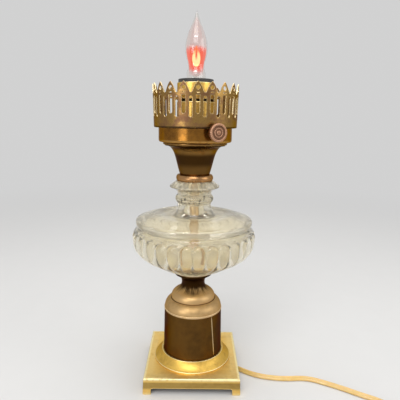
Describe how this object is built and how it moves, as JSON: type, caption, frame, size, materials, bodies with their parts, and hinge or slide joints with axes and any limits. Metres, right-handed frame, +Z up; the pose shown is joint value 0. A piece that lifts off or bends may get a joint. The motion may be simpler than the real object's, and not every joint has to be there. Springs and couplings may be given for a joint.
{
  "type": "table lamp",
  "caption": "Electric pedestal table lamp in oil lamp style: square brass plinth, pillar, pressed glass font, pierced crown gallery and a flame bulb.",
  "frame": {"origin": "middle of the plinth, on the surface that its feet stand on", "axes": "+Z up along the lamp's pipe, -Y towards the front, the switch knob is front right"},
  "size_m": [0.2811, 0.2308, 0.3923],
  "materials": {
    "polished_brass": "polished yellow brass with light tarnish",
    "bronze_patina": "dark brown bronze patina",
    "seam_solder": "dull solder line",
    "satin_brass": "satin antique brass",
    "dark_bronze": "dark aged bronze",
    "font_glass": "clear pressed glass with a faint warm tint",
    "bulb_glass": "clear thin blown glass",
    "copper_brass": "copper-toned brass",
    "antique_brass": "antique brass with brown tarnish",
    "shell_brass": "bright drawn brass",
    "black_insulator": "black moulded insulation",
    "zinc_steel": "zinc plated steel",
    "pipe_brass": "drawn brass pipe",
    "nickel_cap": "nickel plated cap",
    "plaster": "set plaster cement",
    "felt": "brown felt",
    "flame_metal": "metal plates with an orange neon glow",
    "cord_vinyl": "translucent gold vinyl",
    "tie_paper": "plain white tie"
  },
  "bodies": {
    "lamp": {"plinth": "polished_brass", "seat_ring": "polished_brass", "pillar_tube": "bronze_patina", "pillar_seam": "seam_solder", "shoulder_cap": "satin_brass", "waist_spool": "dark_bronze", "burner_bell": "dark_bronze", "glass_font": "font_glass", "collar": "copper_brass", "burner_drum": "antique_brass", "seam_ring": "antique_brass", "spindle_bush": "antique_brass", "socket_shell": "shell_brass", "socket_cap": "shell_brass", "screw_shell": "shell_brass", "centre_contact": "shell_brass", "socket_liner": "black_insulator", "socket_body": "black_insulator", "check_plate": "zinc_steel", "lock_washer": "zinc_steel", "pipe_nut": "zinc_steel", "terminal_screws": "zinc_steel", "centre_pipe": "pipe_brass", "plug_blades": "nickel_cap", "cement_ring": "plaster", "cup_washer": "felt", "cord_run": "cord_vinyl", "cord_coil": "cord_vinyl", "cord_tail": "cord_vinyl", "supply_lead": "cord_vinyl", "plug_body": "cord_vinyl", "cord_tie": "tie_paper"},
    "knob": {"knob": "copper_brass", "switch_spindle": "zinc_steel"},
    "gallery": {"gallery": "antique_brass"},
    "bulb": {"bulb_glass": "bulb_glass", "bulb_cap": "nickel_cap", "bulb_insulator": "black_insulator", "bulb_contact": "nickel_cap", "bulb_stem": "bulb_glass", "lead_wires": "zinc_steel", "flame_plates": "flame_metal"}
  },
  "joints": [
    {"name": "knob_turn", "type": "hinge", "parent": "lamp", "child": "knob", "pos_m": [0.01816, -0.03842, 0.2731], "axis": [0.4274, -0.9041, 0], "continuous": true},
    {"name": "gallery_lift", "type": "slide", "parent": "lamp", "child": "gallery", "axis": [0, 0, 1], "range_m": [0, 0.12]},
    {"name": "bulb_out", "type": "slide", "parent": "lamp", "child": "bulb", "axis": [0, 0, 1], "range_m": [0, 0.032]}
  ]
}
